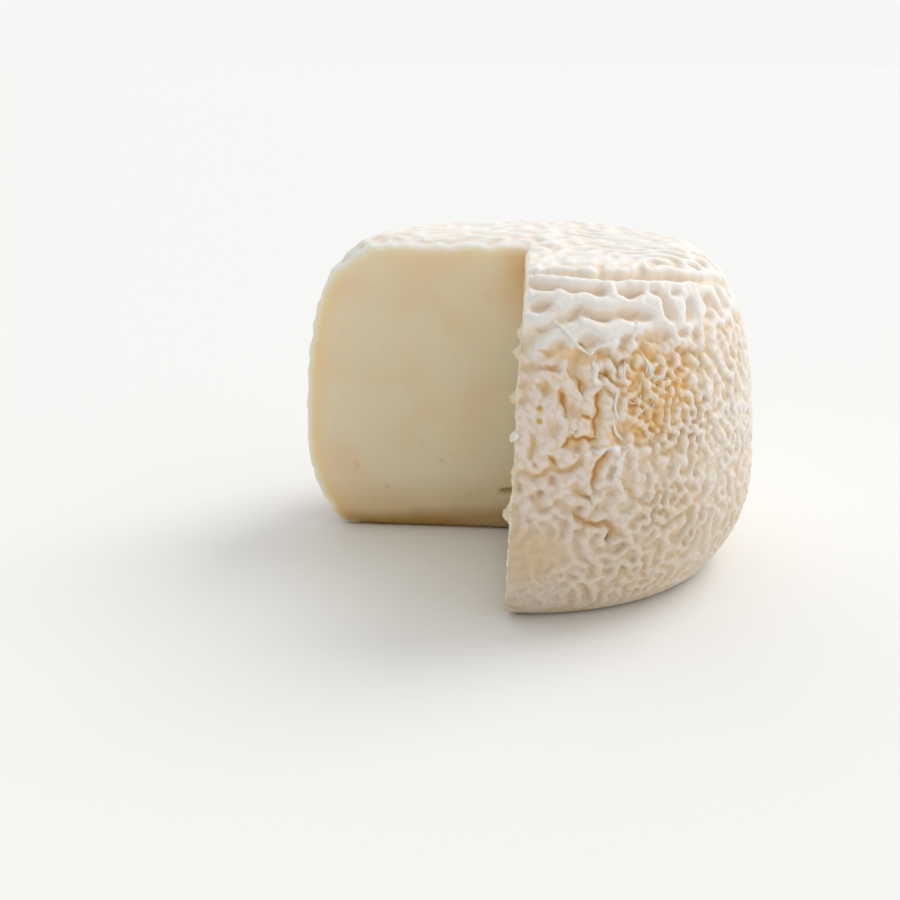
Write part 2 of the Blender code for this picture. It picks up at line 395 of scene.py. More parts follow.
THIN_FOLDS = {
    "by_low_crack": [(276.2, 48.6), (277.5, 46.9), (278.2, 45.8), (280.4, 45.5), (282.8, 45.9)],
    "below_slit": [(284.6, 46.6), (285.1, 48.4), (285.9, 49.3)],
    "low_plateau": [(278.9, 48.1), (280.8, 47.8), (284.1, 48.4), (284.7, 49.3)],
    "bow_right": [(290.9, 51.0), (293.3, 52.1), (294.5, 53.6), (292.2, 55.5), (289.3, 55.2), (286.0, 54.6)],
    "loop": [(275.7, 57.4), (277.3, 56.7), (280.7, 56.1), (281.1, 54.5), (279.4, 53.4), (280.6, 51.2),
             (281.2, 50.1)],
    "wave": [(282.6, 51.6), (283.3, 52.9), (285.7, 55.2), (288.0, 56.7), (288.4, 58.3), (285.0, 58.6),
             (281.7, 58.3), (280.4, 60.3)],
    "foot": [(291.3, 59.4), (291.6, 57.1), (293.4, 56.3), (297.1, 57.5), (297.5, 55.6), (296.3, 53.5)],
    "foot_right": [(300.8, 58.4), (303.8, 60.3)],
    "right_long": [(310.7, 40.8), (313.6, 42.2), (315.6, 44.1), (318.8, 46.1)],
    "right_upper": [(318.4, 39.6), (319.9, 41.9), (323.9, 44.2), (327.9, 46.6)],
    "right_small": [(307.2, 45.0), (305.6, 46.3), (308.4, 48.0)],
    "right_bend": [(304.4, 48.4), (303.5, 49.7), (305.5, 51.2), (308.2, 51.0)],
    "right_low": [(311.6, 50.5), (313.2, 52.6), (313.0, 55.0)],
    "far_right": [(331.4, 36.8), (328.1, 38.9), (329.6, 41.8)],
    "step": [(289.1, 49.5), (291.3, 50.3), (293.9, 50.6)],
    "edge": [(269.9, 47.8), (270.7, 49.1), (272.7, 49.9), (275.0, 49.9), (276.2, 49.1)],
    "cup": [(269.3, 37.0), (271.9, 37.6), (274.3, 38.2), (276.7, 38.4), (278.0, 37.0)],
    "between_cracks": [(279.6, 40.3), (281.4, 40.0), (282.6, 40.7), (283.9, 40.5)],
    "torn_arc": [(300.4, 34.7), (298.9, 35.8), (300.9, 37.2), (303.1, 38.1), (302.4, 39.8), (304.6, 41.0)],
    "torn_edge": [(320.9, 36.5), (316.8, 37.3), (319.3, 38.8), (315.9, 39.9), (313.7, 41.5)],
    "torn_top": [(305.6, 31.3), (310.3, 31.3), (318.8, 33.0)],
    "plateau_left": [(270.5, 35.1), (273.3, 33.9), (276.5, 33.7), (279.7, 35.4), (282.2, 36.0)],
}
CREASE = [(262.0, 20.3), (270.0, 20.1), (280.5, 20.7), (292.0, 22.1), (305.0, 22.5), (319.0, 23.7),
          (327.0, 24.7)]
GOLD_STAINS = {
    "under_thread": [(273.7, 31.4), (278.0, 31.3), (281.4, 31.9), (284.8, 32.3), (290.1, 32.0)],
    "torn_upper": [(296.5, 31.9), (301.0, 31.8), (304.9, 32.4)],
    "torn_left": [(296.5, 34.3), (296.5, 36.2)],
    "torn_middle": [(305.9, 35.2), (307.1, 35.8)],
    "torn_right": [(310.0, 33.2), (312.5, 33.8), (314.1, 35.4)],
    "torn_far_right": [(307.5, 34.0), (309.0, 36.0), (307.5, 37.5)],
    "torn_low": [(289.2, 40.0), (290.0, 41.0), (292.2, 42.3)],
    "torn_low_right": [(298.5, 38.8), (302.6, 38.2), (303.0, 39.5), (299.6, 41.6)],
    "pit_above": [(300.6, 29.7), (301.2, 30.1)],
}
YELLOW_SPOTS = [(273.5, 37.6), (273.5, 39.0)]
DARK_HOLE = [(289.0, 53.2)]
PITS = [(282.0, 42.2), (285.5, 42.3), (274.0, 47.2), (276.5, 45.5), (295.5, 37.8), (294.5, 57.7)]
print("cracks:", len(CRACKS) + len(FAINT_CRACKS), "lips:", len(LIPS),
      "folds:", len(THICK_FOLDS) + len(THIN_FOLDS))

# %% [markdown]
# ## Laying the lines on the net
# A straight line between two places would look drawn. Each line's corners are rounded, it wanders a
# little by a noise, and its ends taper. Then every point of the net gets a number for how near it is to
# such a line, which later gives both the depth and the colour of a crack, so the two always agree.

# %% Marks on the net
LINE_WANDER_DEG = 0.9
LINE_WANDER_MM = 0.45


def line_points(line, steps_each=24):
    """Points of the smooth skin in mm along a listed line, with rounded corners, and its taper."""
    places = np.array(line, float).reshape(-1, 2)
    if len(places) == 1:
        return skin_point(np.radians(places[:, 0]), places[:, 1]), np.ones(1)
    knots = np.arange(len(places))
    fine = np.linspace(0.0, knots[-1], steps_each * (len(places) - 1) + 1)
    width = min(steps_each - 1, len(fine) - 2)
    kernel = np.hanning(width + 2)[1:-1]
    rounded = []
    for column in places.T:
        value = np.interp(fine, knots, column)
        before = 2 * value[0] - value[width:0:-1]
        after = 2 * value[-1] - value[-2:-width - 2:-1]
        padded = np.concatenate([before, value, after])
        rounded.append(np.convolve(padded, kernel / kernel.sum(), "same")[width:-width])
    line_deg, line_run = rounded
    wander = [noise.noise_vector(Vector((0.6 * way, 0.9 * down, 0.0)))
              for way, down in zip(line_deg, line_run)]
    wander_deg, wander_run = np.array(wander)[:, :2].T
    taper = np.clip(np.minimum(fine, knots[-1] - fine) / 0.8, 0.35, 1.0)
    bent_bearing = np.radians(line_deg + LINE_WANDER_DEG * wander_deg)
    return skin_point(bent_bearing, line_run + LINE_WANDER_MM * wander_run), taper


def tree_of(points):
    """A search tree over these points, which answers with their numbers."""
    tree = KDTree(len(points))
    for number, point in enumerate(points):
        tree.insert(point, number)
    tree.balance()
    return tree


net_tree = tree_of(smooth_points)


def mark(lines, width):
    """1 on these lines, fading softly to 0 at the given half width in mm, and narrower towards their ends."""
    marked = np.zeros(len(smooth_points))
    for line in lines:
        for point, taper in zip(*line_points(line)):
            for _, number, away in net_tree.find_range(point, width * taper):
                share = away / (width * taper) * (1.0 + 0.5 * ragged[number])
                marked[number] = max(marked[number], 0.5 + 0.5 * math.cos(math.pi * min(share, 1.0)))
    return marked


crack = mark(CRACKS.values(), width=0.55)
faint = mark(FAINT_CRACKS.values(), width=0.50)
stain = mark(GOLD_STAINS.values(), width=1.5)
lip = mark(LIPS.values(), width=0.42)
valley = np.maximum(mark(VALLEYS.values(), width=1.3), mark(NARROW_VALLEYS.values(), width=0.7))
thick = mark(THICK_FOLDS.values(), width=1.25)
thin = mark(THIN_FOLDS.values(), width=0.62)
crease = mark([CREASE], width=1.1)
yellow = mark([[place] for place in YELLOW_SPOTS], width=0.75)
hole = mark([[place] for place in DARK_HOLE], width=0.60)
pit = mark([[place] for place in PITS], width=0.8)
print("points on cracks:", int((crack > 0.5).sum()), "on lips:", int((lip > 0.5).sum()))

# %% [markdown]
# ## Growing the folds
# Mould skin wrinkles because it grows faster than the cheese below, and it buckles at a width that
# depends on how thick it is. Noise textures give lumps, not folds. Folds are grown instead: a random
# field is blurred a little and blurred a lot, the difference of the two is sharpened, and the round is
# repeated. Bands of one width form, wind and join as real wrinkles do. The blur is wider where the skin
# is thick, and longer along the lie of the folds.

# %% Fold growing
GAIN = 6.5
SMALL_BLUR = 9
LARGE_BLUR = 36
FINAL_BLUR = 6
PITCH_PER_BLUR = 6.54


def blur_weights(pitch, lie, pull):
    """Shares of each point and of its neighbours in one step of blur, for folds of this pitch in mm.

    The lie is the angle of the folds above the level, in radians. The pull is how closely they follow it."""
    away = smooth_points[table] - smooth_points[:, None, :]
    sideways = np.einsum("nkc,nc->nk", away, level)
    upwards = np.einsum("nkc,nc->nk", away, uphill)
    reach = np.maximum(np.hypot(sideways, upwards), 1e-6)
    angle = np.arctan2(upwards, sideways)
    shares = real / reach * np.exp(pull[:, None] * np.cos(2.0 * (angle - lie[:, None])))
    shares /= shares.sum(axis=1, keepdims=True)
    mean_square = (shares * reach ** 2).sum(axis=1)
    strength = np.minimum(2.0 * (pitch / PITCH_PER_BLUR) ** 2 / (SMALL_BLUR * mean_square), 0.9)
    return strength.astype(np.float32), (shares * strength[:, None]).astype(np.float32)


def blur(field, strength, shares, steps):
    for _ in range(steps):
        field = field * (1.0 - strength) + np.einsum("nk,nk->n", field[table], shares)
    return field


def grow_folds(pitch, lie, pull, bias, low, high, unrest, rounds, seed):
    """A field from -1 in the valleys to 1 on the folds. The masks low and high hold it down or up.

    Unrest is the noise that is added before every round: more of it keeps the folds short and broken."""
    strength, shares = blur_weights(pitch, lie, pull)
    chance = np.random.default_rng(seed)
    field = chance.normal(0.0, 1.0, len(pitch)).astype(np.float32)
    for _ in range(rounds):
        field += (unrest * chance.normal(0.0, 1.0, len(pitch))).astype(np.float32)
        fine = blur(field, strength, shares, SMALL_BLUR)
        coarse = blur(fine, strength, shares, LARGE_BLUR - SMALL_BLUR)
        field = np.tanh(GAIN * (fine - coarse) + bias).astype(np.float32)
        field = field * (1.0 - low) * (1.0 - high) - low + high
    return blur(field, strength, shares, FINAL_BLUR)


# %% [markdown]
# ## Folds of each zone
# Four things describe the folds of a zone: how far apart they are in mm, which way they lie, how closely
# they keep to that way, and a bias that makes the skin mostly fold or mostly valley. One value for the
# whole cheese would look like a pattern, so each is mixed from the zones' own values and changes softly.
# The cracks, valleys, lips and folds that are listed hold the field down or up while it grows.

# %% Folds
FOLD_ROUNDS = 7
FOLD_SEED = 11


def mix(masks, other):
    """One value at each point: the masks' values laid over the last one in turn."""
    value = np.full(len(run), float(other))
    for mask, wanted in masks:
        value = value * (1.0 - mask) + wanted * mask
    return value


pitch = mix([(foot, 1.8), (soft, 2.0), (shoulder, 3.0), (top, 3.1), (deep, 2.8), (plateau, 2.3),
             (torn, 1.35)], 2.0)
pitch *= np.exp((0.6 - 0.35 * deep) * waves(smooth_points, 4.5, 7.0))
pitch = np.maximum(pitch, 2.2 - 0.95 * near_front)
lie = mix([(soft, math.radians(105.0)), (shoulder, math.radians(5.0)), (deep, math.radians(85.0))],
          math.radians(75.0))
lie += (1.2 - 0.8 * shoulder - 0.9 * deep) * drift
pull = mix([(foot, 0.10), (soft, 0.35), (shoulder, 0.35), (top, 0.0), (deep, 0.5), (torn, 0.0)], 0.2)
bias = mix([(foot, 0.05), (soft, 0.15), (shoulder, 0.3), (top, 0.3), (deep, 0.1), (plateau, 0.8),
            (torn, -0.1)], 0.1)
bias += 0.6 * waves(smooth_points, 3.5, 12.0)
low = np.clip(1.3 * crack + faint + valley + crease + 0.8 * pit, 0.0, 1.0).astype(np.float32)
high = (np.clip(0.5 * lip + 0.95 * thick + 0.8 * thin, 0.0, 1.0) * (1.0 - low)).astype(np.float32)
folds = grow_folds(pitch, lie, pull, bias, low, high, 0.5 - 0.25 * deep, FOLD_ROUNDS, FOLD_SEED)
print("folds grown, share of skin in valleys:", round(float((folds < 0.0).mean()), 3))

# %% [markdown]
# ## Fine wrinkles
# The real skin has a second, finer wrinkling that runs at a slant to the folds. It is grown in the same
# way, a little over a millimetre apart, but on the unseen sides no finer than the coarser net can show.

# %% Fine wrinkles
WRINKLE_ROUNDS = 4
WRINKLE_SEED = 23

fine_pitch = mix([(shoulder, 1.5), (torn, 1.1)], 1.2) * (1.0 + 0.2 * drift)
fine_pitch = np.maximum(fine_pitch, 2.2 - 1.2 * near_front)
none = np.zeros(len(run), np.float32)
creases = grow_folds(fine_pitch, lie + 0.6, 0.3 + none, 0.1 + none, none, none, 0.5, WRINKLE_ROUNDS,
                     WRINKLE_SEED)
print("fine wrinkles grown, share of skin in them:", round(float((creases < 0.0).mean()), 3))

# %% [markdown]
# ## Relief
# The folds are now pressed into the smooth form. Each zone has its own depth. The form also sags softly,
# as in the solid model. Pressing straight in gives slopes but no overhang, so the folds are then blown up
# along their own surface, and their sides roll over the valleys as soft skin does.

# %% Depth of the skin
SAG_DEPTH = 0.6
FLAT_BASE_MARGIN = 3.0
PUFF = 0.20

ridge = 0.5 + 0.5 * folds
sharpness = mix([(foot, 0.9), (soft, 0.9), (shoulder, 1.4), (top, 1.2), (deep, 1.2), (plateau, 1.3)], 1.0)
hollow = (1.0 - ridge) ** sharpness
fold_depth = mix([(foot, 0.27), (soft, 0.23), (shoulder, 0.80), (top, 0.22), (deep, 0.62), (plateau, 0.30),
                  (torn, 0.28), (bald, 0.04), (calm_foot, 0.08), (by_left_cut, 0.25)], 0.29)
fold_depth *= 1.0 + 0.6 * waves(smooth_points, 5.0, 8.0)
fine_depth = mix([(foot, 0.15), (soft, 0.14), (shoulder, 0.10), (top, 0.06), (deep, 0.05), (plateau, 0.14),
                  (torn, 0.22), (bald, 0.02)], 0.18)
depth = PUFF + SAG_DEPTH * (0.5 + 0.5 * broad)
depth += fold_depth * hollow
depth += fine_depth * (0.5 - 0.5 * creases)
depth += 0.25 * torn + 0.10 * bald + 0.20 * stain
depth += 0.32 * crack + 0.18 * faint + 0.35 * valley + 0.55 * crease + 0.40 * pit + 1.0 * hole
depth -= (0.28 * lip + 0.20 * thick + 0.16 * thin) * (1.0 - low)
tint = 1.0 - (1.0 - ridge) * np.clip(fold_depth / 0.30, 0.25, 1.0) * (1.0 - 0.25 * plateau)
above_base = smoothstep(0.0, FLAT_BASE_MARGIN, smooth_points[:, 2])
wrinkled = smooth_points - outward * (depth * above_base)[:, None]


def puffed(mesh, points, amount):
    """The points moved out along the mesh's own normals by this amount in mm."""
    set_points(mesh, points)
    normals = np.zeros(len(points) * 3, np.float32)
    mesh.vertex_normals.foreach_get("vector", normals)
    return points + normals.reshape(-1, 3) * amount[:, None]


puff = PUFF * above_base * (1.0 - 0.5 * np.maximum(deep, soft)) * smoothstep(0.2, 0.9, ridge)
wrinkled = puffed(wheel_mesh, wrinkled, puff)
for _ in range(2):
    wrinkled += (0.5 * (1.0 - near_front) * above_base)[:, None] * (neighbour_mean(wrinkled) - wrinkled)
wrinkled[:, 2] = np.maximum(wrinkled[:, 2], 0.0)
print("relief in mm, mean and most:", round(float(depth.mean()), 2), round(float(depth.max()), 2))
set_points(wheel_mesh, wrinkled * MM)

# %% [markdown]
# ## The cut
# A knife took a quarter out by two strokes that meet at the middle. The knife wandered a little, so both
# cuts wave slightly. A wedge-shaped tool is taken away from the wheel with a Boolean, and the tool's
# faces are finely divided, because they become the faces of the paste and need points of their own for
# its relief.

# %% Wedge tool
APEX_TOP = Vector((0.0, 0.0, HEIGHT)) * MM
APEX_BASE = Vector((-1.5, 2.0, 0.0)) * MM
RIGHT_CUT_DEG = 269.7
LEFT_CUT_DEG = 178.0
CUT_REACH = 36.0 * MM
CUT_OVERRUN = 1.5 * MM
CUT_GRID = 99
KNIFE_WAVE = 0.22 * MM
KNIFE_WAVE_LENGTH = 14.0 * MM


def on_cut(apex, across, bearing_deg):
    """A point of a cut: this far from the apex line along the cut's bearing, with the knife's slight wave."""
    way = math.radians(bearing_deg)
    point = apex + Vector((math.cos(way), math.sin(way), 0.0)) * across
    wave = KNIFE_WAVE * noise.noise(point / KNIFE_WAVE_LENGTH)
    return point + Vector((-math.sin(way), math.cos(way), 0.0)) * wave


def wedge_tool():
    """The wedge that the knife takes out: a cube's grid drawn between the two cuts."""
    form = bmesh.new()
    bmesh.ops.create_cube(form, size=1.0)
    bmesh.ops.subdivide_edges(form, edges=form.edges[:], cuts=CUT_GRID, use_grid_fill=True)
    for vertex in form.verts:
        to_left, to_right, up = (vertex.co.x + 0.5, vertex.co.y + 0.5, vertex.co.z + 0.5)
        height = -CUT_OVERRUN + (HEIGHT * MM + 2.0 * CUT_OVERRUN) * up
        apex = APEX_BASE + (APEX_TOP - APEX_BASE) * (height / (HEIGHT * MM))
        right = on_cut(apex, CUT_REACH * to_right, RIGHT_CUT_DEG)
        left = on_cut(apex, CUT_REACH * to_left, LEFT_CUT_DEG)
        vertex.co = right + left - apex
    for face in form.faces:
        face.material_index = 1
    return mesh_from(form, "wedge_tool")


def add_object(name, data):
    """A new object in the scene that holds this mesh, curve, camera or light."""
    added = bpy.data.objects.new(name, data)
    bpy.context.scene.collection.objects.link(added)
    return added


def worked_out(source):
    """The mesh that an object's modifiers or curve give. The object itself is taken away."""
    bpy.context.view_layer.update()
    made = bpy.data.meshes.new_from_object(source.evaluated_get(bpy.context.evaluated_depsgraph_get()))
    bpy.data.objects.remove(source, do_unlink=True)
    return made


rind = bpy.data.materials.new("rind")
paste = bpy.data.materials.new("paste")


def cut_quarter(mesh):
    """Takes the wedge away from the wheel. The cut faces of the new mesh have the paste's material."""
    tool_mesh = wedge_tool()
    for owner in (mesh, tool_mesh):
        owner.materials.append(rind)
        owner.materials.append(paste)
    wheel = add_object("uncut", mesh)
    tool = add_object("wedge_tool", tool_mesh)
    cut = wheel.modifiers.new("Quarter", "BOOLEAN")
    cut.operation = "DIFFERENCE"
    cut.solver = "MANIFOLD"
    cut.object = tool
    made = worked_out(wheel)
    bpy.data.objects.remove(tool, do_unlink=True)
    return made


cheese_mesh = cut_quarter(wheel_mesh)
cheese_mesh.name = "cheese_wheel_body"
print("after the cut:", len(cheese_mesh.vertices), "points,",
      sum(len(face.vertices) - 2 for face in cheese_mesh.polygons), "triangles,",
      sum(face.material_index == 1 for face in cheese_mesh.polygons), "faces of paste")

# %% [markdown]
# ## Where rind ends and paste begins
# The Boolean makes new points along the cuts, so the values that were worked out on the net are looked up
# again at the nearest point of the skin. The distance to the skin matters as much as they do: the paste
# just under a ripe rind is softer and yellower, and the cut edge shows the rind itself as a white line.

# %% Values on the cut cheese
skin_tree = tree_of(wrinkled)


def faces_of(mesh, material):
    return [face for face in mesh.polygons if face.material_index == material and len(face.vertices) < 9]


def points_of(faces, count):
    """True for each point that one of these faces uses."""
    used = np.zeros(count, bool)
    for face in faces:
        used[list(face.vertices)] = True
    return used


def mean_normals(faces, count):
    """The mean normal of just these faces at each point."""
    total = np.zeros((count, 3))
    for face in faces:
        total[list(face.vertices)] += face.normal
    return total / np.maximum(np.linalg.norm(total, axis=1, keepdims=True), 1e-9)


def look_up(points):
    """For each point in mm, the number of the nearest point of the skin and the distance to it."""
    found = [skin_tree.find(point)[1:] for point in points]
    return np.array([number for number, _ in found]), np.array([away for _, away in found])


cut_points = get_points(cheese_mesh) / MM
paste_faces = faces_of(cheese_mesh, 1)
in_paste = points_of(paste_faces, len(cut_points))
on_rind = points_of(faces_of(cheese_mesh, 0), len(cut_points))
nearest, from_skin = look_up(cut_points)
from_skin[on_rind] = 0.0
print("points of paste:", int(in_paste.sum()), "of the cut's edge:", int((in_paste & on_rind).sum()))

# %% [markdown]
# ## Relief of the paste
# The knife drags the soft paste and leaves it slightly wavy. The rind is tougher: it stands out as a
# lumpy lip, and just inside it the creamy paste sinks a little. At the top the knife has pressed the edge
# down into a round, and the foot is rounded too. A few slit-shaped eyes lie in the lower part.

# %% Shape the cut faces
LIP_OUT = 0.30
CREAM_SUNK = 0.16
ROLL_REACH = 2.4
ROLL_REACH_ON_RIND = 5.0
ROLL_BACK = 1.6
ROLL_DOWN = 0.60
FOOT_ROLL = 0.6
EYES = [
    (13.5, 12.5, 0.55, 60.0, 0.25), (11.0, 10.0, 0.80, 15.0, 0.30), (2.0, 5.9, 0.90, 165.0, 0.90),
    (22.5, 9.0, 0.55, 50.0, 0.30), (7.0, 5.4, 0.60, 80.0, 0.30), (18.5, 6.0, 0.55, 60.0, 0.35),
    (9.0, 22.0, 0.40, 60.0, 0.15), (25.5, 15.0, 0.45, 75.0, 0.30),
]


def eyes(across, height):
    """Depth of slit-shaped holes, by place from the axis, height, half length, tilt in degrees and depth."""
    bent = waves(cut_points, 0.8, 14.0)
    holes = np.zeros(len(across))
    for middle, up, length, tilt, deepest in EYES:
        way = math.radians(tilt)
        along = (across - middle) * math.cos(way) + (height - up) * math.sin(way)
        beside = (height - up) * math.cos(way) - (across - middle) * math.sin(way)
        along = along + 0.5 * bent
        beside = beside + 0.45 * bent
        holes = np.maximum(holes, deepest * np.exp(-(along / length) ** 2 - (beside / (0.38 * length)) ** 2))
    return holes


# %% Way to the edge of the cuts
paste_normals = mean_normals(paste_faces, len(cut_points))
on_edge = in_paste & on_rind
edge_numbers = np.flatnonzero(on_edge)
edge_tree = tree_of(cut_points[edge_numbers])
found = [edge_tree.find(point)[1:] for point in cut_points]
edge_normal = paste_normals[edge_numbers[[number for number, _ in found]]]
from_edge = np.array([away for _, away in found])
print("points within 1 mm of the edge:", int((from_edge < 1.0).sum()))

# %% Press the cuts into shape
height = cut_points[:, 2]
on_right_cut = paste_normals[:, 0] < -0.8
across = np.where(on_right_cut, -cut_points[:, 1], -cut_points[:, 0])
eye = eyes(across, height) * in_paste * ~on_right_cut
near_edge = np.where(in_paste, (1.0 - np.clip(from_edge / ROLL_REACH, 0.0, 1.0)) ** 3,
                     (1.0 - np.clip(from_edge / ROLL_REACH_ON_RIND, 0.0, 1.0)) ** 2)
at_top = smoothstep(35.5, 38.5, height)
at_foot = FOOT_ROLL * (1.0 - np.clip(height / 1.4, 0.0, 1.0)) ** 2
by_right_cut = np.where(in_paste, paste_normals[:, 0], edge_normal[:, 0]) < -0.8
at_top = at_top * (1.0 - 0.7 * by_right_cut)
roll = np.where(in_paste, np.maximum(near_edge * at_top, at_foot), near_edge * np.maximum(at_top, at_foot))

out = LIP_OUT * np.exp(-((from_skin - 0.5) / 0.45) ** 2) * (0.6 + 0.8 * waves(cut_points, 1.5, 2.0))
out -= CREAM_SUNK * np.exp(-((from_skin - 2.0) / 1.0) ** 2)
out += 0.14 * waves(cut_points, 7.0, 4.0) + 0.03 * waves(cut_points, 0.9, 6.0) - eye
ragged_edge = on_right_cut * smoothstep(31.0, 27.0, height) * (1.0 - smoothstep(0.2, 1.4, from_skin))
out += 0.45 * ragged_edge * np.maximum(waves(cut_points, 1.1, 9.0), -0.1)
way_out = np.where(in_paste[:, None], paste_normals, edge_normal)
shaped = cut_points + way_out * (out * in_paste - ROLL_BACK * roll)[:, None]
shaped[:, 2] -= ROLL_DOWN * near_edge * at_top
shaped = np.clip(shaped, np.array(cad_low) / MM + 0.005, np.array(cad_high) / MM - 0.005)
shaped[:, 2] = np.where(height < 0.001, 0.0, shaped[:, 2])
set_points(cheese_mesh, shaped * MM)
print("furthest that a point of the cuts moved, mm:", round(float(np.abs(shaped - cut_points).max()), 2))

# %% [markdown]
# ## The finished body
# The Boolean leaves a sharp edge where the rind meets the paste. A soft cheese has none, so the points by
# the edge are evened out a few times. Then the numbers that the materials need are kept on the mesh's own
# points, where the pattern stays with the surface.

# %% Finish the body


def round_edge(mesh, near, rounds=2):
    """Softens the sharp edge that the Boolean leaves, at the points that are near it."""
    form = bmesh.new()
    form.from_mesh(mesh)
    form.verts.ensure_lookup_table()
    chosen = [form.verts[number] for number in np.flatnonzero(near)]
    for _ in range(rounds):
        bmesh.ops.smooth_vert(form, verts=chosen, factor=0.5, use_axis_x=True, use_axis_y=True,
                              use_axis_z=True)
    form.to_mesh(mesh)
    form.free()


round_edge(cheese_mesh, (from_edge < 0.6) & (height > 0.3), 4)

cheese = add_object("cheese_wheel_body", cheese_mesh)
cheese_mesh.shade_smooth()
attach(cheese, "root")
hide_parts("cheese_wheel")


def keep_values(mesh, values):
    """Stores named numbers on the mesh's points for its materials to read."""
    for name, numbers in values.items():
        stored = mesh.attributes.new(name, "FLOAT", "POINT")
        stored.data.foreach_set("value", np.asarray(numbers, np.float32))


keep_values(cheese_mesh, {
    "fold": tint[nearest],
    "fine": (0.5 + 0.5 * creases)[nearest],
    "gold": np.clip(0.9 * torn + 0.5 * plateau, 0.0, 1.0)[nearest],
    "stain": stain[nearest],
    # pale: the top and shoulder, paler partly as a whiter rind and partly as painted light from above
    "pale": np.clip(top + shoulder, 0.0, 1.0)[nearest],
    "warm": warm[nearest],
    "crack": np.clip(crack + 0.5 * faint, 0.0, 1.0)[nearest],
    "torn_lip": lip[nearest],
    "bald": (bald * (1.0 - 0.8 * thin))[nearest],
    "yellow": yellow[nearest],
    "hole": np.clip(hole + 0.35 * pit, 0.0, 1.0)[nearest],
    "from_skin": from_skin,
    "right_cut": on_right_cut & in_paste,
    "eye": eye,
})
print("named values on the mesh:", len(cheese_mesh.attributes))

# %% [markdown]
# ## Writing shaders as arithmetic
# A shader is a chain of small sums on numbers and colours. The two classes below let those sums be
# written as ordinary arithmetic: each operator adds the node that does it, and one method adds any other
# node.

# %% Shader arithmetic


class Signal:
    """A number, colour or vector that comes out of a node."""

    def __init__(self, graph, socket):
        self.graph = graph
        self.socket = socket

    def __add__(self, other):
        return self.graph.maths("ADD", self, other)

    def __sub__(self, other):
        return self.graph.maths("SUBTRACT", self, other)

    def __rsub__(self, other):
        return self.graph.maths("SUBTRACT", other, self)

    def __mul__(self, other):
        return self.graph.maths("MULTIPLY", self, other)

    __radd__ = __add__
    __rmul__ = __mul__

    def smooth(self, low, high):
        """0 below the low value, 1 above the high one, and a soft step between. Low may be the larger."""
        if low > high:
            return 1.0 - self.smooth(high, low)
        settings = {"interpolation_type": "SMOOTHSTEP"}
        inputs = {"Value": self, "From Min": low, "From Max": high}
        return self.graph.add("ShaderNodeMapRange", settings, inputs)


class Graph:
    """The node tree of a material or of the world."""

    def __init__(self, owner):
        owner.use_nodes = True
        self.tree = owner.node_tree

    def add(self, kind, settings=None, inputs=None, output=0):
        """Adds a node, sets it up, feeds its inputs with signals or plain values and gives one output."""
        node = self.tree.nodes.new(kind)
        for name, value in (settings or {}).items():
            setattr(node, name, value)
        for name, value in (inputs or {}).items():
            self.feed(node.inputs[name], value)
        return Signal(self, node.outputs[output])

    def feed(self, socket, value):
        if isinstance(value, Signal):
            self.tree.links.new(value.socket, socket)
        elif socket.type == "RGBA":
            socket.default_value = (*value, 1.0)
        else:
            socket.default_value = value

    def maths(self, operation, first, second):
        return self.add("ShaderNodeMath", {"operation": operation}, {0: first, 1: second})

    def blend(self, amount, first, second):
        """The first colour where the amount is 0 and the second where it is 1."""
        return self.add("ShaderNodeMix", {"data_type": "RGBA"}, {0: amount, 6: first, 7: second}, 2)

    def value(self, name):
        """A named number stored on the mesh's points."""
        return self.add("ShaderNodeAttribute", {"attribute_name": name}, output=2)

    def part(self, vector, axis):
        """One of a vector's three parts, by the number 0, 1 or 2 for X, Y or Z."""
        return self.add("ShaderNodeSeparateXYZ", {}, {0: vector}, axis)

    def place_mm(self):
        """The object's own coordinates in mm."""
        place = self.add("ShaderNodeTexCoord", output=3)
        return self.add("ShaderNodeVectorMath", {"operation": "SCALE"}, {0: place, "Scale": 1000.0})

    def noise(self, place, size_mm, detail=2.0):
        """Soft noise from 0 to 1 with lumps of this size."""
        return self.add("ShaderNodeTexNoise", {}, {"Vector": place, "Scale": 1.0 / size_mm, "Detail": detail})

    def finish_with(self, inputs):
        """Sets or links inputs of the tree's main shader."""
        shader = self.tree.nodes["Principled BSDF"]
        for name, value in inputs.items():
            self.feed(shader.inputs[name], value)


# %% [markdown]
# ## Finish of the rind
# White mould covers the folds, and the valleys between them show the beige skin below. Where the rind is
# torn or cracked, the ripe layer under it shows golden to amber. The top and shoulder are paler, partly
# as a whiter rind and partly as painted light from above, and the rind is painted darker towards the foot
# as shade. The rind is thin, so light goes a millimetre into it and comes out warmer.

# %% Rind material
RIND_WHITE = (0.89, 0.85, 0.82)
RIND_WARM = (0.87, 0.78, 0.71)
RIND_PALE = (0.94, 0.91, 0.87)
VALLEY_BEIGE = (0.79, 0.60, 0.37)
VALLEY_PALE = (0.92, 0.79, 0.64)
VALLEY_GOLD = (0.87, 0.55, 0.20)
CRACK_AMBER = (0.62, 0.27, 0.07)
BALD_SKIN = (0.80, 0.585, 0.335)
PIT_OCHRE = (0.56, 0.38, 0.17)
SPOT_YELLOW = (0.66, 0.43, 0.04)
FOOT_PAINTED_SHADE = (0.64, 0.53, 0.39)
HOLE_BROWN = (0.36, 0.20, 0.09)

